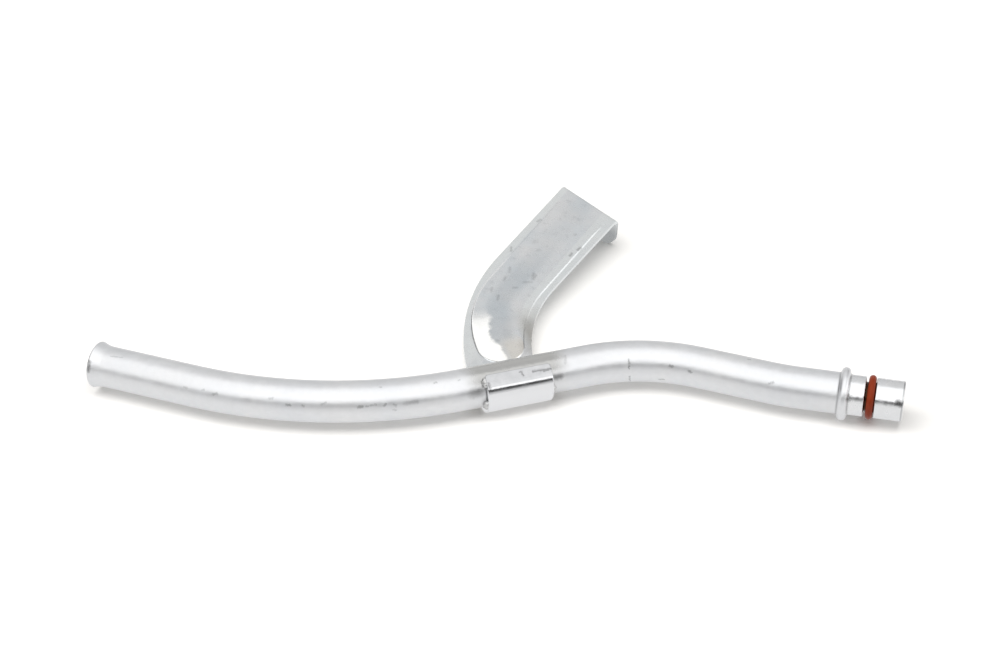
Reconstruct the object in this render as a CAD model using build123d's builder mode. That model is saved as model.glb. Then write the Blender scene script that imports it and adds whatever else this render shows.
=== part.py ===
from build123d import *
import math
import os

# Dipstick guide tube of an engine: a bent steel tube with a flared mouth, a spigot with a stop
# bead and a sealing ring, and a pressed sheet bracket that is tack-welded round the tube.
# Millimetres. The origin is on the spigot's axis at the outboard end of the stop bead, where
# the tube seats on the engine block. +X runs out along the spigot, and +Z is up as it lies.

# Tube
tube_radius = 6.0
tube_wall = 1.0
bore_radius = tube_radius - tube_wall

# Route of the tube, from the stop bead back to the mouth
spigot_run = 14.5
exit_bend_radius = 60.0
exit_bend_turn = 7.6
lower_run = 21.0
lower_bend_radius = 50.0
lower_bend_turn = 38.4
middle_run = 36.5
upper_bend_radius = 118.0
upper_bend_turn = 38.0
mouth_run = 31.2

# Flare of the mouth
flare_length = 3.6
flare_radius = 8.0
flare_turn = 24.0

# Spigot, stop bead and ring groove
turned_length = 6.0
spigot_radius = 5.8
spigot_bore_radius = 4.8
spigot_length = 15.7
bead_width = 2.6
bead_radius = 7.6
bead_root_rounding = 0.5
groove_centre = 6.1
groove_width = 3.0
groove_floor_radius = 4.25
groove_wall = 0.9
groove_rounding = 0.3
groove_inside_rounding = 0.6
nose_rounding = 0.6

# Sealing ring
ring_cord_radius = 1.05
ring_centre = 6.35

# Bracket sheet
sheet = 1.2
strap_width = 19.6
strap_place = 21.9
strap_top_angle = 68.0
strap_stand_off = 0.8
strap_corner = 1.0
strap_edge_rounding = 0.25
arm_tilt = 8.0

# Outline of the arm, on its tilted plane
arm_outer_neck = 5.3
arm_outer_radius = 71.0
arm_outer_turn = 48.5
arm_outer_run = 40.5
arm_inner_neck = 4.0
arm_inner_radius = 48.3
arm_inner_turn = 49.5
fold_heading = 27.2
fold_reach = 2.0

# Raised panel of the arm
panel_rise = 0.35
panel_nose_radius = 7.2
panel_nose_x = 2.9
panel_nose_y = 20.3
panel_nose_turn = 165.4
panel_outer_radius = 40.0
panel_outer_turn = 48.0
panel_outer_run = 45.5
panel_inner_radius = 42.3
panel_inner_turn = 34.0
panel_end_rounding = 2.0
panel_end_ramp = 6.0
panel_edge_rounding = 0.15
panel_flank_shift = 0.5

# Bolt lug at the end of the arm
lug_depth = 11.4
lug_corner = 5.0
lug_fold_outside = 1.8
lug_fold_inside = 0.6
bolt_hole_radius = 3.2
bolt_hole_drop = 6.0

# Weld tacks: front angle above level, for each edge of the strap
tack_radius = 1.0
tack_seat_radius = 6.6
tack_step = 4.8
mouth_side_tacks = (44.0, -21.0)
spigot_side_tacks = (-8.0,)

os.makedirs("parts", exist_ok=True)


def corners_at(radius, from_x, to_x):
    """Corners of the profile being drawn that lie at one radius, between two places on X."""
    slack = 0.01
    found = vertices().filter_by_position(Axis.X, from_x - slack, to_x + slack)
    return found.filter_by_position(Axis.Y, radius - slack, radius + slack)


# Route of the tube's axis
with BuildLine() as route:
    spigot_line = Line((-turned_length, 0), (-spigot_run, 0))
    exit_bend = JernArc(spigot_line @ 1, spigot_line % 1, exit_bend_radius, -exit_bend_turn)
    lower_line = PolarLine(exit_bend @ 1, lower_run, direction=exit_bend % 1)
    lower_bend = JernArc(lower_line @ 1, lower_line % 1, lower_bend_radius, lower_bend_turn)
    middle_line = PolarLine(lower_bend @ 1, middle_run, direction=lower_bend % 1)
    upper_bend = JernArc(middle_line @ 1, middle_line % 1, upper_bend_radius, -upper_bend_turn)
    mouth_line = PolarLine(
        upper_bend @ 1, mouth_run - flare_length, direction=upper_bend % 1
    )

up = Vector(0, 0, 1)
mouth_way = mouth_line % 1
mouth_plane = Plane(origin=mouth_line @ 1, x_dir=mouth_way, z_dir=mouth_way.cross(up))

with BuildPart() as guide_tube:
    # Bent length of plain tube
    with BuildSketch(Plane(origin=spigot_line @ 0, z_dir=spigot_line % 0)):
        Circle(tube_radius)
        Circle(bore_radius, mode=Mode.SUBTRACT)
    sweep(path=route.wire())

    # Mouth, flared along one arc, with the wall following it to a round lip
    with BuildSketch(mouth_plane):
        with BuildLine():
            flare_outside = JernArc((0, tube_radius), (1, 0), flare_radius, flare_turn)
            flare_inside = JernArc(
                (0, bore_radius), (1, 0), flare_radius + tube_wall, flare_turn
            )
            Line(flare_outside @ 0, flare_inside @ 0)
            TangentArc(flare_outside @ 1, flare_inside @ 1, tangent=flare_outside % 1)
        make_face()
    revolve(axis=Axis(mouth_line @ 1, mouth_way))

    # Spigot with its upset bead and its rolled groove, drawn as one profile
    groove_start = groove_centre - groove_width / 2
    groove_end = groove_centre + groove_width / 2
    swell_start = groove_start - groove_wall
    swell_end = groove_end + groove_wall
    swell_radius = groove_floor_radius - groove_wall
    with BuildSketch(Plane.XZ):
        with BuildLine():
            Polyline(
                (-turned_length, bore_radius),
                (-turned_length, tube_radius),
                (-bead_width, tube_radius),
            )
            ThreePointArc(
                (-bead_width, tube_radius),
                (-bead_width / 2, bead_radius),
                (0, spigot_radius),
            )
            Polyline(
                (0, spigot_radius),
                (groove_start, spigot_radius),
                (groove_start, groove_floor_radius),
                (groove_end, groove_floor_radius),
                (groove_end, spigot_radius),
                (spigot_length, spigot_radius),
                (spigot_length, spigot_bore_radius),
                (swell_end, spigot_bore_radius),
                (swell_end, swell_radius),
                (swell_start, swell_radius),
                (swell_start, spigot_bore_radius),
                (0, spigot_bore_radius),
                (-bead_width, bore_radius),
                (-turned_length, bore_radius),
            )
        make_face()
        fillet(corners_at(tube_radius, -bead_width, -bead_width), bead_root_rounding)
        fillet(corners_at(spigot_radius, 0, 0), bead_root_rounding)
        fillet(corners_at(spigot_radius, groove_start, groove_end), groove_rounding)
        fillet(corners_at(groove_floor_radius, groove_start, groove_end), groove_rounding)
        fillet(corners_at(spigot_bore_radius, swell_start, swell_end), groove_inside_rounding)
        fillet(corners_at(swell_radius, swell_start, swell_end), groove_inside_rounding)
        fillet(corners_at(spigot_radius, spigot_length, spigot_length), nose_rounding)
    revolve(axis=Axis.X)
guide_tube.part.label = "guide_tube"

# Sealing ring, seated on the floor of its groove
with BuildPart() as o_ring:
    with BuildSketch(Plane.XZ):
        with Locations((ring_centre, groove_floor_radius + ring_cord_radius)):
            Circle(ring_cord_radius)
    revolve(axis=Axis.X)
o_ring.part.label = "o_ring"

# Directions at the strap: along the tube to the spigot, and level towards the arm
along = -(middle_line % 0)
rear = up.cross(along)
strap_centre = middle_line @ (strap_place / middle_run)
strap_end = strap_centre - along * (strap_width / 2)
strap_plane = Plane(origin=strap_end, x_dir=rear, z_dir=along)

# Plane of the arm's top face, tangent to the underside of the tube
touching = rear.rotate(Axis((0, 0, 0), along), arm_tilt - 90)
arm_plane = Plane(
    origin=strap_centre + touching * tube_radius, x_dir=along, z_dir=-touching
)

with BuildPart() as support_bracket:
    # Strap, wrapped from under the tube up its front. It meets the tube along both ends of the
    # wrap and stands a little off its front.
    with BuildSketch(strap_plane):
        with BuildLine():
            wrap_start = 180 - strap_top_angle
            wrap_turn = 90 + strap_top_angle + arm_tilt
            wrap_middle = wrap_start + wrap_turn / 2
            wrap_centre = Vector(strap_stand_off, 0).rotate(Axis.Z, wrap_middle)
            wrap_radius = tube_radius - strap_stand_off * math.cos(math.radians(wrap_turn / 2))
            inside = CenterArc(wrap_centre, wrap_radius, wrap_start, wrap_turn)
            outside = CenterArc(wrap_centre, wrap_radius + sheet, wrap_start, wrap_turn)
            Line(inside @ 0, outside @ 0)
            Line(inside @ 1, outside @ 1)
        make_face()
    extrude(amount=strap_width)
    free_face = faces().sort_by(Axis.Z)[-1]
    fillet(free_face.edges().group_by(Edge.length)[0], strap_corner)
    outside_face = faces().filter_by(GeomType.CYLINDER).sort_by(Face.area)[-1]
    fillet(outside_face.edges(), strap_edge_rounding)

    # Arm, a bent strip that leaves the strap on its tangent
    arm_start = -strap_stand_off * math.sin(math.radians(wrap_turn / 2))
    with BuildSketch(arm_plane):
        with BuildLine():
            half = strap_width / 2
            outer_neck = Line((-half, arm_start), (-half, arm_outer_neck))
            outer_arc = JernArc(outer_neck @ 1, (0, 1), arm_outer_radius, -arm_outer_turn)
            outer_side = PolarLine(outer_arc @ 1, arm_outer_run, direction=outer_arc % 1)
            inner_neck = Line((half, arm_start), (half, arm_inner_neck))
            inner_arc = JernArc(inner_neck @ 1, (0, 1), arm_inner_radius, -arm_inner_turn)
            reach_line = PolarLine(
                outer_side @ 1, 2 * strap_width, fold_heading - 90, mode=Mode.PRIVATE
            )
            inner_side = IntersectingLine(inner_arc @ 1, inner_arc % 1, reach_line)
            outer_end = PolarLine(outer_side @ 1, fold_reach, fold_heading)
            inner_end = PolarLine(inner_side @ 1, fold_reach, fold_heading)
            fold_line = Line(outer_end @ 1, inner_end @ 1)
            Line(outer_neck @ 0, inner_neck @ 0)
        make_face()
    extrude(amount=-sheet)

    # Raised panel with a round nose, hollow below as it is pressed up. It runs out at its far
    # end in a gentle ramp.
    panel_top = arm_plane.from_local_coords(Vector(panel_nose_x, panel_nose_y, panel_rise))
    with BuildSketch(arm_plane) as panel:
        with BuildLine():
            nose_start = (panel_nose_x - panel_nose_radius, panel_nose_y)
            nose = JernArc(nose_start, (0, -1), panel_nose_radius, panel_nose_turn)
            panel_outer = JernArc(nose_start, (0, 1), panel_outer_radius, -panel_outer_turn)
            panel_outer_side = PolarLine(
                panel_outer @ 1, panel_outer_run, direction=panel_outer % 1
            )
            panel_inner = JernArc(nose @ 1, nose % 1, panel_inner_radius, -panel_inner_turn)
            end_line = PolarLine(
                panel_outer_side @ 1, 2 * strap_width, fold_heading - 90, mode=Mode.PRIVATE
            )
            panel_inner_side = IntersectingLine(panel_inner @ 1, panel_inner % 1, end_line)
            panel_end = Line(panel_outer_side @ 1, panel_inner_side @ 1)
        make_face()
        fillet(vertices().sort_by_distance(panel_end @ 0.5)[:2], panel_end_rounding)
    extrude(amount=panel_rise, taper=45)
    fillet(faces().sort_by_distance(panel_top)[0].edges(), panel_edge_rounding)
    ramp_foot = arm_plane.from_local_coords(panel_end @ 0)
    ramp_way = arm_plane.from_local_coords(panel_end @ 1) - ramp_foot
    ramp_plane = Plane(
        origin=ramp_foot, x_dir=ramp_way.cross(arm_plane.z_dir), z_dir=-ramp_way
    )
    with BuildSketch(ramp_plane):
        with BuildLine():
            Polyline(
                (0, 0),
                (panel_end_ramp, panel_rise),
                (panel_end_ramp, 2 * panel_rise),
                (0, 2 * panel_rise),
                close=True,
            )
        make_face()
    extrude(amount=2 * strap_width, both=True, mode=Mode.SUBTRACT)
    with BuildSketch(arm_plane.offset(-sheet)):
        add(panel.sketch_local)
        offset(amount=-panel_flank_shift)
    extrude(amount=panel_rise, taper=45, mode=Mode.SUBTRACT)

    # Bolt lug, folded down at the arm's skewed end
    fold_start = arm_plane.from_local_coords(fold_line @ 0)
    fold_way = arm_plane.from_local_coords(fold_line @ 1) - fold_start
    lug_plane = Plane(
        origin=fold_start, x_dir=fold_way, z_dir=fold_way.cross(arm_plane.z_dir)
    )
    with BuildSketch(lug_plane):
        with Locations((fold_line.length / 2, -lug_depth / 2)):
            Rectangle(fold_line.length, lug_depth)
        fillet(vertices().group_by(Axis.Y)[0], lug_corner)
        with Locations((fold_line.length / 2, -bolt_hole_drop)):
            Circle(bolt_hole_radius, mode=Mode.SUBTRACT)
    extrude(amount=sheet)
    fold_middle = fold_start + fold_way * 0.5
    inner_fold_middle = fold_middle + (lug_plane.z_dir - arm_plane.z_dir) * sheet
    fillet(edges().sort_by_distance(fold_middle)[0], lug_fold_outside)
    fillet(edges().sort_by_distance(inner_fold_middle)[0], lug_fold_inside)
support_bracket.part.label = "support_bracket"

# Weld tacks, short beads in the corner between an edge of the strap and the tube
with BuildPart() as weld_tacks:
    for side, angles in ((-1, mouth_side_tacks), (1, spigot_side_tacks)):
        for angle in angles:
            for step in (-tack_step, 0, tack_step):
                way = rear.rotate(Axis((0, 0, 0), along), 180 - angle - step)
                edge_centre = strap_centre + along * (side * strap_width / 2)
                with Locations(edge_centre + way * tack_seat_radius):
                    Sphere(tack_radius)
    with BuildSketch(strap_plane):
        Circle(tube_radius + sheet + tack_radius)
    extrude(amount=strap_width, mode=Mode.SUBTRACT)
    with BuildSketch(strap_plane.offset(-2 * tack_radius)):
        Circle(tube_radius)
    extrude(amount=strap_width + 4 * tack_radius, mode=Mode.SUBTRACT)
weld_tacks.part.label = "weld_tacks"

for piece in (guide_tube, o_ring, support_bracket, weld_tacks):
    export_step(piece.part, "parts/" + piece.part.label + ".step")
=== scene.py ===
import bpy
import math
from mathutils import Euler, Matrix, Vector
from mathutils.bvhtree import BVHTree


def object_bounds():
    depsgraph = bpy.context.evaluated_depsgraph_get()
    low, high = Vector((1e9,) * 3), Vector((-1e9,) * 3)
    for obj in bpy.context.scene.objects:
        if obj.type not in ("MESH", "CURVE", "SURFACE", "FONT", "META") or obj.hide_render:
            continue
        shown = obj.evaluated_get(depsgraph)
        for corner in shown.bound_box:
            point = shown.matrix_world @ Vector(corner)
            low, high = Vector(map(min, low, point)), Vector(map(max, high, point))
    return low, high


# Looks of a dipstick guide tube that lies on a white floor. Metres, in the part's own frame.
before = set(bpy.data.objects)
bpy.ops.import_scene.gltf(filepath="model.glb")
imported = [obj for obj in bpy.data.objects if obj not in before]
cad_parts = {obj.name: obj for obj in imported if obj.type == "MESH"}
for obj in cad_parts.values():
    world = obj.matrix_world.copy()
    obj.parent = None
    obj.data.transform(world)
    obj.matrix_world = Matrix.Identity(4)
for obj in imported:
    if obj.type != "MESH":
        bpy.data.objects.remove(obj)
cad_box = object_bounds()

# Camera of the photo, whose size is in pixels
camera_azimuth = math.radians(12.84)
camera_elevation = math.radians(35.5)
camera_distance = 0.662
camera_target = Vector((-0.105394, 0.017194, -0.0075))
camera_lens = 79.2
camera_sensor = 36.0
photo_width = 1000.0
photo_height = 667.0
photo_focus = camera_lens / camera_sensor * photo_width
camera_turn = Euler((math.pi / 2 - camera_elevation, 0.0, camera_azimuth), "XYZ")
camera_place = camera_target + camera_turn.to_matrix() @ Vector((0.0, 0.0, camera_distance))

# Light of the studio by the angle in degrees, from the horizon in front, over the top, to the
# horizon behind
studio_light = (
    (0.0, 0.80),
    (7.0, 0.60),
    (12.0, 0.34),
    (15.0, 0.10),
    (20.0, 0.05),
    (25.5, 0.05),
    (28.0, 1.45),
    (58.0, 1.45),
    (62.0, 1.32),
    (106.0, 1.32),
    (113.0, 0.80),
    (130.0, 0.73),
    (155.0, 0.73),
    (163.0, 0.68),
    (170.0, 0.55),
    (177.0, 0.55),
    (180.0, 0.85),
)
studio_top = 2.0

# Share of that light by the side, from the far left to the far right. Low in front it is at
# least 1.
studio_sides = (
    (-1.0, 0.25),
    (-0.80, 0.25),
    (-0.62, 1.0),
    (0.42, 1.0),
    (0.60, 0.45),
    (0.70, 0.45),
    (0.76, 1.30),
    (1.0, 1.30),
)
sides_top = 2.0
front_low = math.radians(50.0)
front_high = math.radians(75.0)

# Share of the studio's light that reaches matt surfaces, beside the soft box
matt_fill = 0.38

# Soft box above the part
box_distance = 1.2
box_front = math.radians(8.0)
box_left = math.radians(14.0)
box_depth = 0.90
box_width = 2.2
box_radiance = 2.3

# Floor: how pale it is to matt surfaces, to the camera and in reflections
floor_size = 6.0
floor_albedo = 0.8
floor_seen = 1.2
floor_shine = 0.15
floor_tint = (1.0, 0.985, 0.96)

# Glow of the floor: to the camera between two distances from the part, and in reflections
floor_glow_limits = (0.30, 1.00)
floor_shine_glow = 0.80

# Noise: the roughness of its octaves, and the limits between which most of its values lie
noise_roughness = 0.55
noise_limits = (0.3, 0.7)

# Grain in relief: how much the blotches outweigh the fine grain, and its depth
blotch_weight = 2.0
grain_depth = 0.0001

# Tube's plating, with sizes of noise in features per metre
tube_radius = 0.006
tube_cloud_scale = 70.0
tube_blotch_scale = 420.0
tube_grain_scale = 1100.0
tube_tones = ((0.77, 0.79, 0.82), (0.87, 0.865, 0.86))
tube_speckle = (0.45, 0.45, 0.47)
tube_speckle_limits = (0.35, 0.65)
tube_speckle_share = 0.10
tube_scuff_and_shade = (0.05, 0.05, 0.05)
tube_roughness = (0.36, 0.46)
tube_relief = 0.30

# Dull stretch of the tube beside the strap. Its colour is also darkened there as painted shade that
# takes out its highlight, most near the strap's top edge. It fades along the tube and towards its
# front.
dull_along = (0.0105, 0.0170)
dull_front = (-0.0062, -0.0040)
dull_shade_tones = ((0.36, 0.357, 0.345), (0.60, 0.595, 0.57))
dull_shade_limits = (-0.004, 0.002)
dull_shade_share = 0.80
dull_smoothing = 0.18

# Spigot: painted shade that makes the floor of the ring's groove dark, and grey lines of painted
# shade at the bead's roots and the nose's rim
spigot_smoothing = 0.17
groove_limits = (0.0046, 0.0076)
groove_radius = 0.0057
groove_shade_colour = (0.05, 0.025, 0.015)
shade_line_colour = (0.20, 0.21, 0.21)
line_radius = 0.0066
bead_centre = -0.0013
bead_reach = 0.0015
bead_line = (0.0001, 0.0004)
bead_line_share = 0.42
rim_place = 0.0153
rim_line = (0.0001, 0.0003)
rim_line_share = 0.45

# Strap of the bracket: bright in front, and darker from a height up as painted shade on its top
strap_centre = Vector((-0.0942771, -0.0145221, 0.0))
strap_along = Vector((0.85896, 0.512043, 0.0))
strap_rear = Vector((-strap_along.y, strap_along.x, 0.0))
strap_bright = (0.82, 0.825, 0.84)
strap_top_shade = ((0.42, 0.43, 0.44), (0.62, 0.62, 0.63))
strap_top_shade_height = (0.0037, 0.0040)
strap_roughness = (0.09, 0.16)

# Bracket's plating, with sizes of noise in features per metre
sheet_cloud_scale = 85.0
sheet_mottle_scale = 380.0
sheet_grain_scale = 1200.0
sheet_tones = ((0.73, 0.765, 0.79), (0.81, 0.815, 0.82))
sheet_tone_limits = (0.35, 0.65)
sheet_spot = (0.40, 0.42, 0.45)
sheet_spot_limits = (0.28, 0.40)
sheet_spot_share = 0.22
sheet_scuff_and_shade = (0.08, 0.08, 0.08)
sheet_roughness = (0.22, 0.34)
sheet_relief = 0.10

# Plane of the arm's top. It leaves the tube's underside and rises to the rear. The strap's
# finish gives way to the arm's between two limits behind the strap's centre.
arm_tilt = math.radians(8.0)
up = Vector((0.0, 0.0, 1.0))
arm_rear = math.cos(arm_tilt) * strap_rear + math.sin(arm_tilt) * up
arm_up = strap_along.cross(arm_rear)
arm_origin = strap_centre - tube_radius * arm_up
arm_limits = (0.0073, 0.0113)

# Arm's raised panel: its round nose, and its outer flank, which bends and then runs straight
nose_along = 0.0029
nose_back = 0.0203
nose_centre = arm_origin + nose_along * strap_along + nose_back * arm_rear
nose_reach = 0.0070
bend_along = 0.0357
bend_centre = arm_origin + bend_along * strap_along + nose_back * arm_rear
bend_turn = math.radians(48.0)
run_side = math.sin(bend_turn) * arm_rear - math.cos(bend_turn) * strap_along
run_way = math.cos(bend_turn) * arm_rear + math.sin(bend_turn) * strap_along
flank_reach = 0.0398

# Tones of the arm, laid where its reflections fall: a strip of painted shade, margins and a rim line
# of painted highlight, painted shade at the neck and a painted reflection in the nose. Each has
# limits across from the left of its neck, back from the tube or out from the centre of its bend.
strip_shade_colour = (0.46, 0.51, 0.55)
strip_inside = (0.0275, 0.0310)
strip_outside = (0.0340, 0.0375)
strip_share = 0.38
strip_start = (0.0170, 0.0230)
strip_end = (0.0480, 0.0600)
strip_end_share = 0.3
margin_highlight_colour = (0.86, 0.885, 0.88)
margin_outside = (0.0400, 0.0406)
margin_outside_share = 0.75
margin_inside = (0.0252, 0.0256)
margin_inside_share = 0.6
margin_start = (0.0150, 0.0200)
margin_start_share = 0.4
neck_shade_colour = (0.50, 0.48, 0.44)
neck_across = (0.0098, 0.0128)
neck_share = 0.75
neck_end = (0.0240, 0.0350)
nose_reflection_colour = (0.82, 0.78, 0.71)
nose_colour_across = (0.0020, 0.0050)
nose_colour_share = 0.7
nose_colour_end = (0.0190, 0.0250)
rim_highlight_colour = (0.97, 0.97, 0.97)
rim_width = (0.00020, 0.00038)
rim_start = (0.0290, 0.0330)
rim_end = (0.0560, 0.0600)
rim_slope_share = 0.45

# Lug: painted shade, darker than the arm, most of all at its foot
lug_start = 0.0600
lug_top = -0.0014
lug_foot = -0.0060
lug_shade_colour = (0.16, 0.17, 0.18)
lug_foot_share = 0.62
lug_top_share = 0.28

# Dip in the left half of the panel's nose: its slope, its edge, how ragged that is, its end, and its
# pale tones of painted highlight
dip_slope = 0.36
dip_scale = 260.0
dip_edge_limits = (0.0240, 0.0330)
dip_edge = (0.0006, 0.0038)
dip_foot_limits = (0.0205, 0.0230)
dip_foot = 0.0022
dip_rag = 0.0008
dip_fade = 0.0008
dip_end = (0.0270, 0.0370)
dip_highlight_tones = ((0.93, 0.93, 0.915), (0.83, 0.827, 0.81))
dip_tone_limits = (0.45, 0.70)
dip_highlight_limits = (0.0, 0.45)

# Weld
weld_scale = 1500.0
weld_tones = ((0.42, 0.42, 0.42), (0.78, 0.78, 0.77))
weld_roughness = 0.3
weld_relief = 0.5
weld_depth = 0.0003

# Rubber of the sealing ring
ring_scale = 500.0
ring_tones = ((0.21, 0.021, 0.003), (0.32, 0.041, 0.006))
ring_roughness = 0.42
ring_specular = 0.25

# Marks have ragged edges, of a size in features per metre and a reach to either side. They are
# whole within a share of their radius, and fade out at another.
rag_scale = 1800.0
rag_reach = 0.00045
mark_core = 0.2
mark_fade = 1.4

# Some of the marks below are painted shade, as noted where they stand.
# Scuffs and dark spots: where the photo shows their two ends, in pixels from its
# top left corner, a radius in millimetres and a share of dark colour
millimetre = 0.001
tube_marks = (
    ((184, 387.2), (187, 387.8), 0.35, 0.26),
    ((202, 389.8), (204, 389.8), 0.30, 0.26),
    ((213, 394.2), (217, 393.4), 0.40, 0.35),
    ((269.5, 398.3), (272.5, 398.3), 0.35, 0.29),
    ((286.5, 404.8), (290, 405.4), 0.40, 0.42),
    ((302, 405.2), (303.5, 406.2), 0.35, 0.35),
    ((321.5, 404.6), (325.5, 402.6), 0.35, 0.32),
    ((358.5, 407.2), (362, 406.8), 0.50, 0.42),
    ((366, 406.4), (376.5, 404.4), 0.25, 0.32),
    ((384, 405.6), (385.5, 404.2), 0.40, 0.38),
    ((394, 404.6), (396, 405.8), 0.40, 0.35),
    ((393, 409.5), (396, 410.2), 0.30, 0.22),
    ((405, 403.8), (417, 401.8), 0.60, 0.19),
    ((380.2, 387.3), (381.2, 387.3), 0.30, 0.32),
    ((434, 383.2), (436.5, 382.4), 0.30, 0.32),
    ((458.5, 380.2), (459.5, 380.2), 0.30, 0.32),
    ((111, 356.2), (122, 357.6), 0.25, 0.29),
    ((89.2, 361.5), (88.2, 370.5), 0.55, 0.64),
    ((629, 359.5), (629, 368.6), 0.28, 0.56),
    ((629.6, 376.3), (630, 381), 0.28, 0.41),
    ((670, 366), (672.5, 366.2), 0.45, 0.49),
    ((689, 371.2), (691, 372.2), 0.40, 0.45),
    ((659, 379.4), (664, 379.6), 0.30, 0.34),
    ((769, 383.6), (773, 382.4), 0.35, 0.41),
    ((748, 359.3), (750.5, 359.7), 0.30, 0.34),
    # Painted shade beside the strap's right edge
    ((555.5, 377.5), (560.5, 376.5), 0.92, 0.53),
    # Painted shade beside the strap's left edge
    ((473.5, 393.5), (479, 392.5), 1.50, 0.42),
    ((565.3, 356), (565.3, 363), 0.40, 0.19),
    ((898, 402.5), (900, 404), 0.90, 0.85),
    # Painted shade at the bead's right root
    ((846.5, 399), (848.5, 400), 0.60, 0.52),
)
bracket_marks = (
    ((537.5, 221.5), (540.5, 219.6), 0.52, 0.28),
    ((511.3, 247), (510.8, 251.5), 0.40, 0.31),
    ((533.8, 273.5), (533, 279), 0.63, 0.28),
    ((535.8, 275), (535, 277), 0.52, 0.25),
    ((531.5, 282), (523.5, 282.3), 0.52, 0.19),
    ((510.2, 267.5), (509.2, 272), 0.52, 0.22),
    ((505.5, 277), (504, 280), 0.46, 0.22),
    ((513.5, 287.6), (517, 287.6), 0.46, 0.22),
    ((498.4, 295.5), (497.6, 299.5), 0.46, 0.25),
    ((492, 287.5), (491.6, 291.5), 0.40, 0.19),
    ((578.2, 250), (580.6, 247.8), 0.57, 0.43),
    ((570, 255.6), (571.6, 253.6), 0.48, 0.40),
    ((574.5, 234.8), (575.8, 234.2), 0.52, 0.19),
    ((538, 250.3), (539, 250.3), 0.69, 0.15),
    ((534, 242), (536, 241), 0.92, 0.12),
    ((510, 318), (509.5, 334), 1.84, 0.10),
    ((496.5, 340.4), (498.5, 340.6), 0.57, 0.19),
    ((521, 371.5), (523.5, 376), 0.30, 0.55),
    ((519.5, 372.5), (522, 371), 0.25, 0.45),
    ((533, 371.4), (551, 368.6), 0.35, 0.60),
    ((543, 370.9), (549, 369.6), 0.35, 0.55),
    # Painted shade along the inside of the strap's left edge, in this mark and the next
    ((488.6, 383.5), (490.2, 390), 0.40, 0.55),
    ((490, 385), (492, 391.5), 0.30, 0.35),
    # Painted shade on the right flank of the arm's neck
    ((528.5, 323), (527, 350), 2.20, 0.20),
)


def add_node(tree, kind, inputs=None, **settings):
    """A new node. An input is a number, a colour or the socket that feeds it."""
    made = tree.nodes.new(kind)
    for name, value in settings.items():
        setattr(made, name, value)
    for name, value in (inputs or {}).items():
        if isinstance(value, bpy.types.NodeSocket):
            tree.links.new(value, made.inputs[name])
        else:
            made.inputs[name].default_value = value
    return made


def maths(tree, operation, first, second=0.0, third=0.0):
    """Result of one sum on numbers or sockets."""
    terms = {0: first, 1: second, 2: third}
    return add_node(tree, "ShaderNodeMath", terms, operation=operation).outputs[0]


def remap(tree, value, low, high, to_low, to_high, smooth=False):
    """The value, moved from one range to another and kept inside it."""
    kind = "SMOOTHSTEP" if smooth else "LINEAR"
    ranges = {"From Min": low, "From Max": high, "To Min": to_low, "To Max": to_high}
    made = add_node(
        tree, "ShaderNodeMapRange", {"Value": value, **ranges}, interpolation_type=kind
    )
    return made.outputs["Result"]


def blend_colours(tree, share, first, second):
    """A colour between two, by a share from 0 to 1."""
    made = tree.nodes.new("ShaderNodeMix")
    made.data_type = "RGBA"
    made.clamp_factor = True
    # Sockets of each kind of data share their names, so those for colours go by number.
    sockets = (made.inputs[0], made.inputs[6], made.inputs[7])
    for socket, value in zip(sockets, (share, first, second)):
        if isinstance(value, bpy.types.NodeSocket):
            tree.links.new(value, socket)
        elif isinstance(value, float):
            socket.default_value = value
        else:
            socket.default_value = (*value, 1.0)
    return made.outputs[2]


def reach(tree, place, origin, way):
    """How far a place lies from an origin, along one way."""
    offset = add_node(
        tree, "ShaderNodeVectorMath", {0: place, 1: origin}, operation="SUBTRACT"
    ).outputs["Vector"]
    return add_node(
        tree, "ShaderNodeVectorMath", {0: offset, 1: way}, operation="DOT_PRODUCT"
    ).outputs["Value"]


def distance(tree, first, second):
    """Distance between two places."""
    return add_node(
        tree, "ShaderNodeVectorMath", {0: first, 1: second}, operation="DISTANCE"
    ).outputs["Value"]


def ramp_between(tree, share, stops, top):
    """Brightness by a share from 0 to 1, from stops in rising order. It is divided by the top."""
    made = add_node(tree, "ShaderNodeValToRGB", {"Fac": share})
    elements = made.color_ramp.elements
    for place, level in stops:
        element = elements[0] if place == 0.0 else elements[-1]
        if 0.0 < place < 1.0:
            element = elements.new(place)
        element.color = (level / top, level / top, level / top, 1.0)
    return made.outputs["Color"]


def fade_in(tree, value, limits, most=1.0, least=0.0, smooth=False):
    """A share that rises between two limits of a value."""
    return remap(tree, value, *limits, least, most, smooth)


def fade_out(tree, value, limits, most=1.0, least=0.0, smooth=False):
    """A share that falls between two limits of a value."""
    return remap(tree, value, *limits, most, least, smooth)


def product(tree, first, *others):
    """Product of some shares."""
    for other in others:
        first = maths(tree, "MULTIPLY", first, other)
    return first


def off(tree, value, centre):
    """How far a value is from a centre, to either side."""
    return maths(tree, "ABSOLUTE", maths(tree, "SUBTRACT", value, centre))


def packed_surface(node):
    """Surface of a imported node, in its own space."""
    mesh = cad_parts[node].data
    corners = [corner.co for corner in mesh.vertices]
    return BVHTree.FromPolygons(corners, [face.vertices for face in mesh.polygons])


def seen_place(surface, spot):
    """Place on a surface that the photo shows at a spot."""
    across, down = spot
    way = Vector((across - photo_width / 2, photo_height / 2 - down, -photo_focus))
    way.rotate(camera_turn)
    return surface.ray_cast(camera_place, way.normalized())[0]


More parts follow.
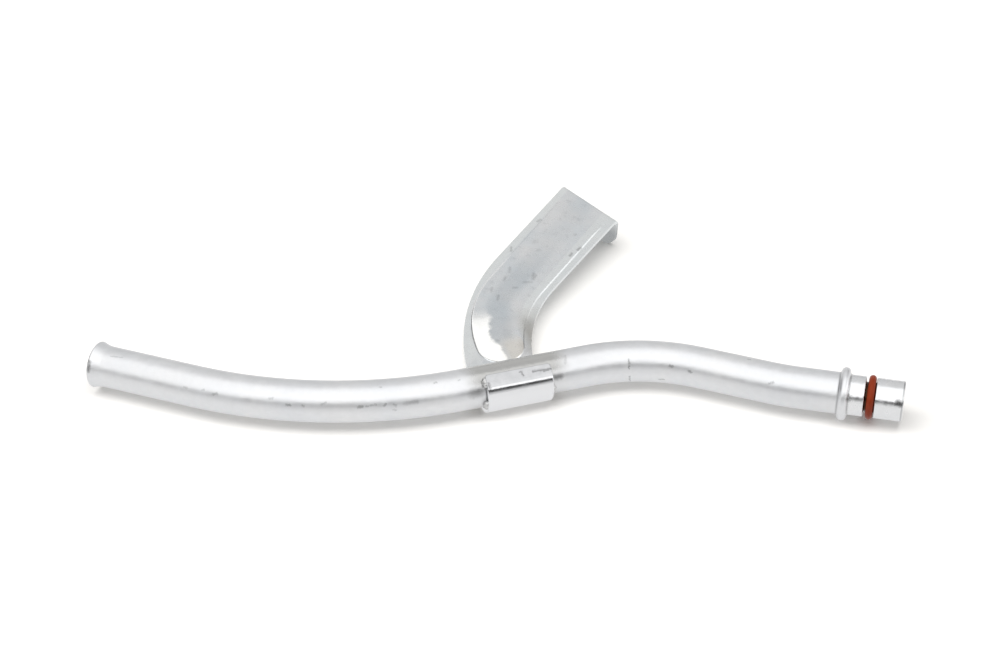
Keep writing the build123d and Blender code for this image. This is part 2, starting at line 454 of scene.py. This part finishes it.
def smudges(tree, place, surface, marks):
    """Share of the strongest of some short, soft-edged marks on a surface, at a place."""
    ragged = add_node(
        tree, "ShaderNodeTexNoise", {"Vector": place, "Scale": rag_scale, "Detail": 2.0}
    ).outputs["Color"]
    shift = add_node(
        tree,
        "ShaderNodeVectorMath",
        {0: ragged, 1: (2.0 * rag_reach,) * 3, 2: (-rag_reach,) * 3},
        operation="MULTIPLY_ADD",
    ).outputs["Vector"]
    moved = add_node(
        tree, "ShaderNodeVectorMath", {0: place, 1: shift}, operation="ADD"
    ).outputs["Vector"]
    total = 0.0
    for first, last, radius, darkness in marks:
        start = seen_place(surface, first)
        way = seen_place(surface, last) - start
        radius = radius * millimetre
        share = reach(tree, moved, start, way / way.length_squared)
        share = add_node(tree, "ShaderNodeClamp", {"Value": share}).outputs["Result"]
        nearest = add_node(
            tree, "ShaderNodeVectorMath", {0: way, "Scale": share}, operation="SCALE"
        ).outputs["Vector"]
        nearest = add_node(
            tree, "ShaderNodeVectorMath", {0: nearest, 1: start}, operation="ADD"
        ).outputs["Vector"]
        gap = distance(tree, moved, nearest)
        mark = fade_out(tree, gap, (mark_core * radius, mark_fade * radius), darkness)
        total = maths(tree, "MAXIMUM", total, mark)
    return total


def noise(tree, place, scale, detail=3.0):
    """Cloudy pattern from 0 to 1."""
    made = add_node(
        tree,
        "ShaderNodeTexNoise",
        {"Vector": place, "Scale": scale, "Detail": detail, "Roughness": noise_roughness},
    )
    return made.outputs["Fac"]


def relief(tree, height, strength, depth):
    """Normal of a surface with a pattern in relief."""
    made = add_node(
        tree, "ShaderNodeBump", {"Height": height, "Strength": strength, "Distance": depth}
    )
    return made.outputs["Normal"]


def new_material(name, metallic=1.0):
    """A material with its tree, its main shader and the place on the object."""
    material = bpy.data.materials.new(name)
    material.use_nodes = True
    tree = material.node_tree
    shader = tree.nodes["Principled BSDF"]
    shader.inputs["Metallic"].default_value = metallic
    place = tree.nodes.new("ShaderNodeTexCoord").outputs["Object"]
    return material, tree, shader, place


def dull_and_shaded_beside_strap(tree, place, rearward):
    """Share of the dull stretch of plating, with painted shade, on both sides of the strap."""
    beside = maths(tree, "ABSOLUTE", reach(tree, place, strap_centre, strap_along))
    dull_and_shaded = fade_out(tree, beside, dull_along, smooth=True)
    return product(tree, dull_and_shaded, fade_in(tree, rearward, dull_front))


def groove_floor(tree, along, radius):
    """1 in the groove of the sealing ring, else 0."""
    low = maths(tree, "LESS_THAN", radius, groove_radius)
    after = maths(tree, "GREATER_THAN", along, groove_limits[0])
    before = maths(tree, "LESS_THAN", along, groove_limits[1])
    return product(tree, low, after, before)


def spigot_shade_lines(tree, along, radius):
    """Share of the grey lines of painted shade at the bead's roots and at the nose's rim."""
    roots = off(tree, off(tree, along, bead_centre), bead_reach)
    roots = fade_out(tree, roots, bead_line, bead_line_share)
    rim = fade_out(tree, off(tree, along, rim_place), rim_line, rim_line_share)
    lines = maths(tree, "MAXIMUM", roots, rim)
    return product(tree, lines, maths(tree, "LESS_THAN", radius, line_radius))


def zinc_tube():
    """Bright zinc plating on a drawn tube, scuffed, and dull beside the welded strap, with painted
    shade there, in some marks, in the ring's groove and in lines on the spigot.
    """
    material, tree, shader, place = new_material("tube_zinc")
    clouds = noise(tree, place, tube_cloud_scale)
    blotches = noise(tree, place, tube_blotch_scale)
    grain = noise(tree, place, tube_grain_scale, 2.0)
    rearward = reach(tree, place, strap_centre, strap_rear)
    dull_and_shaded = dull_and_shaded_beside_strap(tree, place, rearward)
    dull_shade_tone = blend_colours(tree, fade_in(tree, rearward, dull_shade_limits), *dull_shade_tones)
    parts = add_node(tree, "ShaderNodeSeparateXYZ", {"Vector": place}).outputs
    along = parts["X"]
    radius = maths(tree, "MULTIPLY", parts["Z"], parts["Z"])
    radius = maths(tree, "MULTIPLY_ADD", parts["Y"], parts["Y"], radius)
    radius = maths(tree, "SQRT", radius)
    layers = (
        (fade_out(tree, blotches, tube_speckle_limits, tube_speckle_share), tube_speckle),
        # Painted shade: the tube is darkened beside the strap, most near the strap's top edge
        (product(tree, dull_and_shaded, dull_shade_share), dull_shade_tone),
        (smudges(tree, place, packed_surface("guide_tube"), tube_marks), tube_scuff_and_shade),
        # Painted shade: the groove's floor is dark, and grey lines lie at the bead's roots and the
        # nose's rim
        (groove_floor(tree, along, radius), groove_shade_colour),
        (spigot_shade_lines(tree, along, radius), shade_line_colour),
    )
    colour = blend_colours(tree, clouds, *tube_tones)
    for share, tone in layers:
        colour = blend_colours(tree, share, colour, tone)
    tree.links.new(colour, shader.inputs["Base Color"])
    rough = remap(tree, blotches, *noise_limits, *tube_roughness)
    rough = maths(tree, "MULTIPLY_ADD", dull_and_shaded, -dull_smoothing, rough)
    on_spigot = maths(tree, "GREATER_THAN", along, 0.0)
    rough = maths(tree, "MULTIPLY_ADD", on_spigot, -spigot_smoothing, rough)
    tree.links.new(rough, shader.inputs["Roughness"])
    lumps = maths(tree, "MULTIPLY_ADD", blotches, blotch_weight, grain)
    normal = relief(tree, lumps, tube_relief, grain_depth)
    tree.links.new(normal, shader.inputs["Normal"])
    return material


def from_bend(tree, place):
    """Distance across the arm, from the centre of its bend, and squarely along its straight run."""
    round_bend = distance(tree, place, bend_centre)
    squarely = reach(tree, place, bend_centre, run_side)
    on_run = maths(tree, "GREATER_THAN", reach(tree, place, bend_centre, run_way), 0.0)
    step = maths(tree, "SUBTRACT", squarely, round_bend)
    return maths(tree, "MULTIPLY_ADD", step, on_run, round_bend)


def nose_disc(tree, place):
    """1 in the round nose of the panel, else 0."""
    return maths(tree, "LESS_THAN", distance(tree, place, nose_centre), nose_reach)


def nose_dip(tree, place, across, back):
    """Share of the dip in the left half of the panel's nose."""
    ragged = noise(tree, place, dip_scale)
    edge = remap(tree, back, *dip_edge_limits, *dip_edge)
    edge = maths(tree, "ADD", edge, fade_out(tree, back, dip_foot_limits, dip_foot))
    edge = maths(tree, "ADD", edge, remap(tree, ragged, *noise_limits, -dip_rag, dip_rag))
    inside = maths(tree, "SUBTRACT", edge, across)
    share = fade_in(tree, inside, (-dip_fade, dip_fade))
    share = product(tree, share, fade_out(tree, back, dip_end))
    in_flank = maths(tree, "LESS_THAN", distance(tree, place, bend_centre), flank_reach)
    in_flank = product(tree, in_flank, maths(tree, "GREATER_THAN", back, nose_back))
    return product(tree, share, maths(tree, "MAXIMUM", nose_disc(tree, place), in_flank))


def middle_shade_strip(tree, bend, back):
    """Share of the darker strip of painted shade along the middle of the panel."""
    inside = fade_in(tree, bend, strip_inside, smooth=True)
    outside = fade_out(tree, bend, strip_outside, strip_share, smooth=True)
    start = fade_in(tree, back, strip_start)
    end = fade_out(tree, back, strip_end, least=strip_end_share)
    return product(tree, inside, outside, start, end)


def panel_highlight_margins(tree, bend, back):
    """Share of the paler margins of painted highlight on both sides of the panel."""
    outside = fade_in(tree, bend, margin_outside, margin_outside_share)
    outside = product(tree, outside, fade_in(tree, back, margin_start, least=margin_start_share))
    inside = fade_out(tree, bend, margin_inside, margin_inside_share)
    inside = product(tree, inside, fade_in(tree, back, margin_start))
    return maths(tree, "MAXIMUM", outside, inside)


def warm_neck_shade(tree, across, back):
    """Share of the warm painted shade at the right of the arm's neck."""
    return product(
        tree, fade_in(tree, across, neck_across, neck_share), fade_out(tree, back, neck_end)
    )


def nose_reflection(tree, place, across, back):
    """Share of the beige painted reflection in the right half of the panel's nose."""
    right = fade_in(tree, across, nose_colour_across, nose_colour_share)
    front = fade_out(tree, back, nose_colour_end, smooth=True)
    return product(tree, right, front, nose_disc(tree, place))


def lug_shade(tree, place, back):
    """Share of the painted shade that darkens the lug under the end of the arm."""
    height = reach(tree, place, arm_origin, arm_up)
    shade = remap(tree, height, lug_foot, lug_top, lug_foot_share, lug_top_share)
    behind = maths(tree, "GREATER_THAN", back, lug_start)
    return product(tree, behind, shade, maths(tree, "LESS_THAN", height, lug_top))


def panel_rim_highlight(tree, bend, back):
    """Share of the bright line of painted highlight along the panel's outer edge."""
    line = fade_out(tree, off(tree, bend, flank_reach), rim_width)
    return product(tree, line, fade_in(tree, back, rim_start), fade_out(tree, back, rim_end))


def strap_tone(tree, place, mottle):
    """Colour of the strap: bright in front, darker on top as painted shade."""
    height = add_node(tree, "ShaderNodeSeparateXYZ", {"Vector": place}).outputs["Z"]
    top_shade = blend_colours(tree, mottle, *strap_top_shade)
    # Painted shade: the strap is darker from a height up
    return blend_colours(tree, fade_in(tree, height, strap_top_shade_height), strap_bright, top_shade)


def tilted(tree, normal, share):
    """A normal that leans to the front by a share of the dip's slope."""
    tilt = add_node(
        tree,
        "ShaderNodeVectorTransform",
        {"Vector": arm_rear * -dip_slope},
        vector_type="VECTOR",
        convert_from="OBJECT",
        convert_to="WORLD",
    ).outputs["Vector"]
    tilt = add_node(
        tree, "ShaderNodeVectorMath", {0: tilt, "Scale": share}, operation="SCALE"
    ).outputs["Vector"]
    normal = add_node(
        tree, "ShaderNodeVectorMath", {0: normal, 1: tilt}, operation="ADD"
    ).outputs["Vector"]
    return add_node(
        tree, "ShaderNodeVectorMath", {0: normal}, operation="NORMALIZE"
    ).outputs["Vector"]


def zinc_sheet():
    """Smoother, bluish plating on the pressed bracket, with a shinier strap, scuffs, and painted
    shade, highlights and reflections laid on by place.
    """
    material, tree, shader, place = new_material("bracket_zinc")
    clouds = noise(tree, place, sheet_cloud_scale, 4.0)
    mottle = noise(tree, place, sheet_mottle_scale, 4.0)
    grain = noise(tree, place, sheet_grain_scale, 2.0)
    across = reach(tree, place, arm_origin, strap_along)
    back = reach(tree, place, arm_origin, arm_rear)
    bend = from_bend(tree, place)
    on_arm = fade_in(tree, reach(tree, place, strap_centre, strap_rear), arm_limits)
    dip = nose_dip(tree, place, across, back)
    dip_highlight_tone = blend_colours(tree, fade_in(tree, dip, dip_tone_limits), *dip_highlight_tones)
    rim = panel_rim_highlight(tree, bend, back)
    colour = blend_colours(tree, fade_in(tree, clouds, sheet_tone_limits), *sheet_tones)
    spots = fade_out(tree, mottle, sheet_spot_limits, sheet_spot_share)
    colour = blend_colours(tree, spots, colour, sheet_spot)
    colour = blend_colours(tree, on_arm, strap_tone(tree, place, mottle), colour)
    # Layers of painted shade, highlight and reflection on the arm and lug, then scuffs of which some
    # are painted shade
    layers = (
        (product(tree, middle_shade_strip(tree, bend, back), on_arm), strip_shade_colour),
        (product(tree, panel_highlight_margins(tree, bend, back), on_arm), margin_highlight_colour),
        (product(tree, warm_neck_shade(tree, across, back), on_arm), neck_shade_colour),
        # Painted highlight: the dip is paler in colour
        (fade_in(tree, dip, dip_highlight_limits), dip_highlight_tone),
        (nose_reflection(tree, place, across, back), nose_reflection_colour),
        (lug_shade(tree, place, back), lug_shade_colour),
        (rim, rim_highlight_colour),
        (smudges(tree, place, packed_surface("support_bracket"), bracket_marks), sheet_scuff_and_shade),
    )
    for share, tone in layers:
        colour = blend_colours(tree, share, colour, tone)
    tree.links.new(colour, shader.inputs["Base Color"])
    arm_rough = remap(tree, mottle, *noise_limits, *sheet_roughness)
    strap_rough = remap(tree, mottle, *noise_limits, *strap_roughness)
    step = maths(tree, "SUBTRACT", arm_rough, strap_rough)
    rough = maths(tree, "MULTIPLY_ADD", on_arm, step, strap_rough)
    tree.links.new(rough, shader.inputs["Roughness"])
    lumps = maths(tree, "MULTIPLY_ADD", mottle, blotch_weight, grain)
    normal = relief(tree, lumps, sheet_relief, grain_depth)
    lean = maths(tree, "MULTIPLY_ADD", rim, rim_slope_share, dip)
    tree.links.new(tilted(tree, normal, lean), shader.inputs["Normal"])
    return material


def weld_metal():
    """Plated weld, rougher than what it joins."""
    material, tree, shader, place = new_material("weld")
    lumps = noise(tree, place, weld_scale, 4.0)
    tree.links.new(blend_colours(tree, lumps, *weld_tones), shader.inputs["Base Color"])
    shader.inputs["Roughness"].default_value = weld_roughness
    normal = relief(tree, lumps, weld_relief, weld_depth)
    tree.links.new(normal, shader.inputs["Normal"])
    return material


def ring_rubber():
    """Brown-red sealing rubber."""
    material, tree, shader, place = new_material("ring_rubber", metallic=0.0)
    clouds = noise(tree, place, ring_scale)
    tree.links.new(blend_colours(tree, clouds, *ring_tones), shader.inputs["Base Color"])
    shader.inputs["Roughness"].default_value = ring_roughness
    shader.inputs["Specular IOR Level"].default_value = ring_specular
    return material


def dress(node, material):
    """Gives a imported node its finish."""
    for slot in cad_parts[node].material_slots:
        slot.material = material


def add_studio():
    """World that the metal mirrors as bands of light by height and by side. The camera sees white."""
    world = bpy.data.worlds.new("studio")
    bpy.context.scene.world = world
    world.use_nodes = True
    world.cycles.sampling_method = "NONE"
    tree = world.node_tree
    background = tree.nodes["Background"]
    way = tree.nodes.new("ShaderNodeTexCoord").outputs["Generated"]
    rays = tree.nodes.new("ShaderNodeLightPath").outputs
    front = (math.sin(camera_azimuth), -math.cos(camera_azimuth), 0.0)
    forward = add_node(
        tree, "ShaderNodeVectorMath", {0: way, 1: front}, operation="DOT_PRODUCT"
    ).outputs["Value"]
    height = add_node(tree, "ShaderNodeSeparateXYZ", {"Vector": way}).outputs["Z"]
    angle = maths(tree, "ARCTAN2", height, forward)
    stops = [(degrees / 180.0, level) for degrees, level in studio_light]
    colour = ramp_between(tree, maths(tree, "DIVIDE", angle, math.pi), stops, studio_top)
    tree.links.new(colour, background.inputs["Color"])
    right = (math.cos(camera_azimuth), math.sin(camera_azimuth), 0.0)
    sideways = add_node(
        tree, "ShaderNodeVectorMath", {0: way, 1: right}, operation="DOT_PRODUCT"
    ).outputs["Value"]
    sideways = maths(tree, "MULTIPLY_ADD", sideways, 0.5, 0.5)
    stops = [((place + 1.0) / 2.0, level) for place, level in studio_sides]
    level = ramp_between(tree, sideways, stops, sides_top)
    level = maths(tree, "MULTIPLY", level, sides_top * studio_top)
    low_in_front = fade_out(tree, angle, (front_low, front_high), studio_top)
    level = maths(tree, "MAXIMUM", level, low_in_front)
    fill = maths(tree, "MULTIPLY_ADD", rays["Is Glossy Ray"], 1.0 - matt_fill, matt_fill)
    tree.links.new(product(tree, level, fill), background.inputs["Strength"])
    white = add_node(tree, "ShaderNodeBackground", {"Strength": 1.0, "Color": (1, 1, 1, 1)})
    mix = add_node(
        tree,
        "ShaderNodeMixShader",
        {0: rays["Is Camera Ray"], 1: background.outputs[0], 2: white.outputs[0]},
    )
    tree.links.new(mix.outputs[0], tree.nodes["World Output"].inputs["Surface"])


def add_floor():
    """White floor that keeps the part's shadow."""
    bpy.ops.mesh.primitive_plane_add(size=floor_size, location=(0, 0, cad_box[0][2]))
    floor = bpy.context.object
    floor.name = "floor"
    material = bpy.data.materials.new("floor_white")
    material.use_nodes = True
    tree = material.node_tree
    tree.nodes.remove(tree.nodes["Principled BSDF"])
    rays = tree.nodes.new("ShaderNodeLightPath").outputs
    shine = rays["Is Glossy Ray"]
    seen = rays["Is Camera Ray"]
    level = maths(tree, "MULTIPLY_ADD", seen, floor_seen - floor_albedo, floor_albedo)
    level = maths(tree, "MULTIPLY_ADD", shine, floor_shine - floor_albedo, level)
    tint = add_node(
        tree, "ShaderNodeVectorMath", {0: floor_tint, "Scale": level}, operation="SCALE"
    ).outputs["Vector"]
    matt = add_node(tree, "ShaderNodeBsdfDiffuse", {"Color": tint})
    place = tree.nodes.new("ShaderNodeTexCoord").outputs["Object"]
    far = distance(tree, place, Vector((*camera_target.xy, 0.0)))
    strength = product(tree, seen, fade_in(tree, far, floor_glow_limits, smooth=True))
    strength = maths(tree, "MULTIPLY_ADD", shine, floor_shine_glow, strength)
    glow = add_node(tree, "ShaderNodeEmission", {"Strength": strength})
    both = add_node(
        tree, "ShaderNodeAddShader", {0: matt.outputs[0], 1: glow.outputs[0]}
    )
    tree.links.new(both.outputs[0], tree.nodes["Material Output"].inputs["Surface"])
    floor.data.materials.append(material)


def add_soft_box():
    """Soft box above the part and a little to the left, which lights the floor and the rubber."""
    data = bpy.data.lights.new("soft_box", "AREA")
    data.shape = "RECTANGLE"
    data.size = box_width
    data.size_y = box_depth
    data.energy = box_radiance * math.pi * box_width * box_depth
    box = bpy.data.objects.new("soft_box", data)
    bpy.context.scene.collection.objects.link(box)
    box.visible_glossy = False
    turn = Euler((box_front, -box_left, camera_azimuth), "XYZ").to_matrix()
    box.rotation_euler = turn.to_euler()
    box.location = camera_target + turn @ Vector((0, 0, box_distance))


def add_camera():
    """Camera at the photograph's viewing angle."""
    data = bpy.data.cameras.new("camera")
    data.lens = camera_lens
    data.sensor_width = camera_sensor
    camera = bpy.data.objects.new("camera", data)
    bpy.context.scene.collection.objects.link(camera)
    camera.location = camera_place
    camera.rotation_euler = camera_turn
    bpy.context.scene.camera = camera


dress("guide_tube", zinc_tube())
dress("support_bracket", zinc_sheet())
dress("weld_tacks", weld_metal())
dress("o_ring", ring_rubber())
add_studio()
add_floor()
add_soft_box()
add_camera()
bpy.context.scene.view_settings.view_transform = "Standard"
